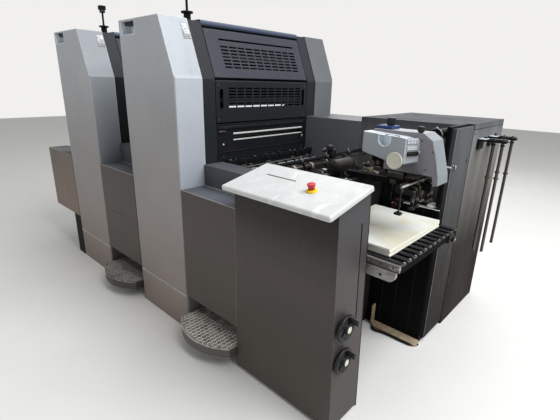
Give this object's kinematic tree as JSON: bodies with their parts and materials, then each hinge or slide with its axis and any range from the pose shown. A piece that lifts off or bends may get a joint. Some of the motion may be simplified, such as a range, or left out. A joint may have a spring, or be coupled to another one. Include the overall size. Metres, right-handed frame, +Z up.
{
  "type": "offset printing press",
  "caption": "Sheet-fed offset press with two printing units, louvred guards, a feeder with pile board and suction head, a control box, a side cabinet and a low delivery.",
  "frame": {"origin": "middle of the footprint at floor level", "axes": "+X towards the feeder end, -Y the operator side, +Z up"},
  "size_m": [3.109, 1.7619, 1.82],
  "materials": {
    "columns": "satin silver paint",
    "side_frames": "satin charcoal paint",
    "unit_cores": "matt black",
    "ink_rollers": "satin rubber",
    "drive_covers": "satin grey paint",
    "upper_guard_1": "satin charcoal",
    "upper_guard_2": "satin charcoal",
    "lower_guard_1": "satin charcoal",
    "lower_guard_2": "satin charcoal",
    "slot_covers": "satin charcoal",
    "top_lids": "satin charcoal",
    "sensor_posts": "black",
    "bed": "matt black",
    "bed_walls": "satin charcoal",
    "low_covers": "satin brown-grey",
    "foot_steps": "chequered plate",
    "control_box": "satin brown-grey",
    "control_desk": "moulded off-white",
    "stop_base": "yellow",
    "stop_button": "red",
    "handwheel_upper": "black",
    "handwheel_lower": "black",
    "feeder_frame": "black",
    "feed_table": "dark grey",
    "feed_bars": "black",
    "feed_motor": "satin black",
    "pull_shaft": "dark steel",
    "pile_front_stop": "black",
    "head_beam": "dark grey",
    "suction_head": "light grey",
    "head_cover": "light grey",
    "head_badge": "cream",
    "head_knobs": "black",
    "sucker_unit": "oily steel",
    "air_duct": "black hose",
    "pile_board": "black",
    "board_rail": "worn aluminium",
    "paper_pile": "paper",
    "bay_wall": "black",
    "bay_sill": "worn beige",
    "side_guide": "bright steel",
    "cabinet": "satin grey",
    "cabinet_lid": "satin grey",
    "cabinet_panel": "satin grey",
    "cabinet_door": "satin grey",
    "rod_rack": "black",
    "hanging_rods": "dark steel",
    "delivery_covers": "satin brown-grey",
    "delivery_frame": "black"
  },
  "bodies": {
    "press": {"columns": "columns", "side_frames": "side_frames", "unit_cores": "unit_cores", "ink_rollers": "ink_rollers", "drive_covers": "drive_covers", "upper_guard_1": "upper_guard_1", "lower_guard_1": "lower_guard_1", "slot_covers": "slot_covers", "top_lids": "top_lids", "sensor_posts": "sensor_posts", "bed": "bed", "bed_walls": "bed_walls", "low_covers": "low_covers", "foot_steps": "foot_steps", "control_box": "control_box", "control_desk": "control_desk", "stop_base": "stop_base", "feeder_frame": "feeder_frame", "feed_table": "feed_table", "feed_bars": "feed_bars", "feed_motor": "feed_motor", "pile_front_stop": "pile_front_stop", "head_beam": "head_beam", "air_duct": "air_duct", "bay_wall": "bay_wall", "bay_sill": "bay_sill", "side_guide": "side_guide", "cabinet": "cabinet", "cabinet_lid": "cabinet_lid", "cabinet_panel": "cabinet_panel", "rod_rack": "rod_rack", "hanging_rods": "hanging_rods", "delivery_covers": "delivery_covers", "delivery_frame": "delivery_frame"},
    "upper_guard": {"upper_guard_2": "upper_guard_2"},
    "lower_guard": {"lower_guard_2": "lower_guard_2"},
    "upper_wheel": {"handwheel_upper": "handwheel_upper"},
    "lower_wheel": {"handwheel_lower": "handwheel_lower"},
    "stop_knob": {"stop_button": "stop_button"},
    "pile_lift": {"pile_board": "pile_board", "board_rail": "board_rail", "paper_pile": "paper_pile"},
    "door": {"cabinet_door": "cabinet_door"},
    "head": {"suction_head": "suction_head", "head_cover": "head_cover", "head_badge": "head_badge", "head_knobs": "head_knobs", "sucker_unit": "sucker_unit"},
    "pull_roller": {"pull_shaft": "pull_shaft"}
  },
  "joints": [
    {"name": "upper_guard_hinge", "type": "hinge", "parent": "press", "child": "upper_guard", "pos_m": [0.2896, -0.1465, 1.6191], "axis": [0, -1, 0], "range_deg": [0, 70]},
    {"name": "lower_guard_hinge", "type": "hinge", "parent": "press", "child": "lower_guard", "pos_m": [0.3845, -0.1465, 1.368], "axis": [0, -1, 0], "range_deg": [0, 95]},
    {"name": "upper_wheel_spin", "type": "hinge", "parent": "press", "child": "upper_wheel", "pos_m": [1.3985, -0.703, 0.484], "axis": [1, 0, 0], "continuous": true},
    {"name": "lower_wheel_spin", "type": "hinge", "parent": "press", "child": "lower_wheel", "pos_m": [1.3985, -0.703, 0.334], "axis": [1, 0, 0], "continuous": true},
    {"name": "stop_press", "type": "slide", "parent": "press", "child": "stop_knob", "axis": [0, -0.2164, 0.9763], "range_m": [-0.006, 0]},
    {"name": "pile_lift_slide", "type": "slide", "parent": "press", "child": "pile_lift", "axis": [0, 0, 1], "range_m": [-0.5, 0.11]},
    {"name": "door_hinge", "type": "hinge", "parent": "press", "child": "door", "pos_m": [1.40465, 0.33315, 0.6], "axis": [0, 0, 1], "range_deg": [0, 90]},
    {"name": "head_slide", "type": "slide", "parent": "press", "child": "head", "axis": [1, 0, 0], "range_m": [-0.2, 0]},
    {"name": "pull_roller_spin", "type": "hinge", "parent": "press", "child": "pull_roller", "pos_m": [0.6975, -0.1465, 0.92], "axis": [0, 1, 0], "continuous": true}
  ]
}
